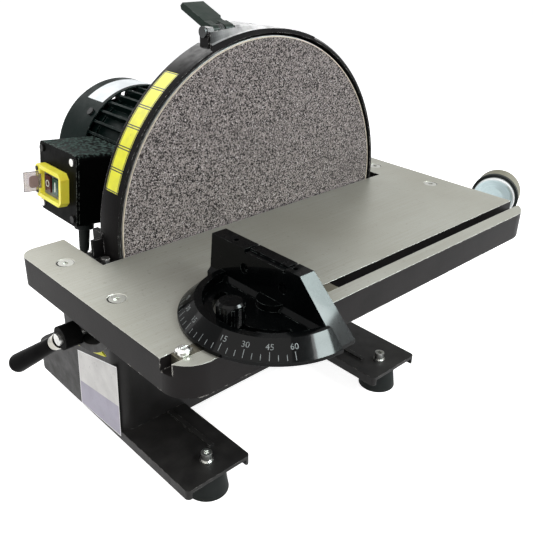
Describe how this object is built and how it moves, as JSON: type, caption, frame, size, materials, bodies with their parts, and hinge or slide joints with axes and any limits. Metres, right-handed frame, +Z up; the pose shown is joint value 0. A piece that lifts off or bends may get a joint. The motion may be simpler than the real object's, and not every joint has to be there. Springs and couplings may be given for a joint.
{
  "type": "benchtop disc sander",
  "caption": "Bench disc sander with a vertical disc on the motor shaft, tilting table with mitre gauge, brake lever on the guard and a dust outlet.",
  "frame": {"origin": "middle of the machine's bounding box in plan, on the bench surface under the rubber feet; the mains cord isn't counted", "axes": "+X to the operator's right, +Y from the operator towards the motor, +Z up"},
  "size_m": [0.627, 0.5283, 0.404],
  "materials": {
    "black_casting": "semi-gloss",
    "black_paint": "satin",
    "table_iron": "ground",
    "rubber": "matte",
    "steel": "satin",
    "plating": "bright",
    "abrasive": "grit",
    "disc_alloy": "machined",
    "black_plastic": "matte",
    "copper": "varnished",
    "iron_core": "laminated",
    "white_plastic": "matte",
    "yellow_plastic": "gloss",
    "green_plastic": "gloss",
    "red_plastic": "gloss",
    "clear_plastic": "clear",
    "yellow_paint": "gloss",
    "duct_paint": "satin",
    "gauge_alloy": "satin",
    "friction": "matte"
  },
  "bodies": {
    "frame": {"base": "black_casting", "rubber_feet": "rubber", "foot_bolts": "steel", "lower_cover": "black_casting", "guard": "black_casting", "housing_screws": "steel", "brake_pin": "steel", "brake_spring": "steel", "motor_front_bell": "black_paint", "motor_frame": "black_paint", "stator": "iron_core", "windings": "copper", "motor_rear_bell": "black_paint", "bearings": "steel", "fan_cover": "black_paint", "small_screws": "steel", "switch_box": "black_casting", "box_lid": "black_casting", "capacitor": "white_plastic", "switch_bezel": "yellow_plastic", "switch_block": "black_plastic", "cord_gland": "rubber", "cord_run": "rubber", "cord_coil": "rubber", "plug": "rubber", "plug_pins": "plating", "dust_chute": "black_casting", "dust_duct": "duct_paint", "cap_seal": "rubber", "dust_cap": "plating", "lock_studs": "steel", "tilt_pointer": "yellow_paint"},
    "spindle": {"disc_plate": "disc_alloy", "abrasive_disc": "abrasive", "disc_hub": "iron_core", "hub_screws": "steel", "motor_shaft": "steel", "rotor": "iron_core", "fan": "white_plastic"},
    "table": {"table": "table_iron", "trunnion_left": "black_casting", "trunnion_right": "black_casting", "table_screws": "steel"},
    "lock_left": {"lock_hub_left": "black_plastic", "lock_collar_left": "plating", "lock_grip_left": "black_plastic"},
    "lock_right": {"lock_hub_right": "black_plastic", "lock_collar_right": "plating", "lock_grip_right": "black_plastic"},
    "mitre_slide": {"mitre_bar": "steel", "bar_screw": "steel", "bar_pointer": "steel"},
    "mitre_head": {"mitre_head": "gauge_alloy"},
    "mitre_knob": {"mitre_knob": "black_plastic"},
    "brake": {"brake_lever": "gauge_alloy", "brake_pad": "friction"},
    "start_button": {"start_button": "green_plastic"},
    "stop_button": {"stop_button": "red_plastic"},
    "stop_flap": {"stop_flap": "clear_plastic"}
  },
  "joints": [
    {"name": "spindle_spin", "type": "hinge", "parent": "frame", "child": "spindle", "pos_m": [-0.07908, -0.02315, 0.226], "axis": [0, 1, 0], "continuous": true},
    {"name": "table_tilt", "type": "hinge", "parent": "frame", "child": "table", "pos_m": [-0.07908, -0.02315, 0.219], "axis": [1, 0, 0], "range_deg": [0, 45]},
    {"name": "lock_left_turn", "type": "hinge", "parent": "frame", "child": "lock_left", "pos_m": [-0.28638, -0.02315, 0.167], "axis": [1, 0, 0], "range_deg": [-60, 25]},
    {"name": "lock_right_turn", "type": "hinge", "parent": "frame", "child": "lock_right", "pos_m": [0.12822, -0.02315, 0.167], "axis": [1, 0, 0], "range_deg": [-20, 25]},
    {"name": "mitre_travel", "type": "slide", "parent": "table", "child": "mitre_slide", "axis": [1, 0, 0], "range_m": [-0.04, 0.24]},
    {"name": "mitre_swing", "type": "hinge", "parent": "mitre_slide", "child": "mitre_head", "pos_m": [-0.20008, -0.16635, 0.219], "axis": [0, 0, 1], "range_deg": [-60, 60]},
    {"name": "mitre_lock", "type": "hinge", "parent": "mitre_slide", "child": "mitre_knob", "pos_m": [-0.23858, -0.16635, 0.219], "axis": [0, 0, 1], "range_deg": [0, 180]},
    {"name": "brake_swing", "type": "hinge", "parent": "frame", "child": "brake", "pos_m": [-0.12208, -0.01515, 0.3855], "axis": [1, 0, 0], "range_deg": [-3.1, 0], "stiffness_Nm_per_rad": 3, "springref_deg": 5.73},
    {"name": "start_press", "type": "slide", "parent": "frame", "child": "start_button", "axis": [0.9951, 0, -0.0993], "range_m": [0, 0.003], "stiffness_N_per_m": 300, "springref_m": -0.001},
    {"name": "stop_press", "type": "slide", "parent": "frame", "child": "stop_button", "axis": [0.9951, 0, -0.0993], "range_m": [0, 0.003], "stiffness_N_per_m": 300, "springref_m": -0.001},
    {"name": "flap_swing", "type": "hinge", "parent": "frame", "child": "stop_flap", "pos_m": [-0.21373, 0.15475, 0.2312], "axis": [0.0993, 0, 0.9951], "range_deg": [0, 90]}
  ]
}
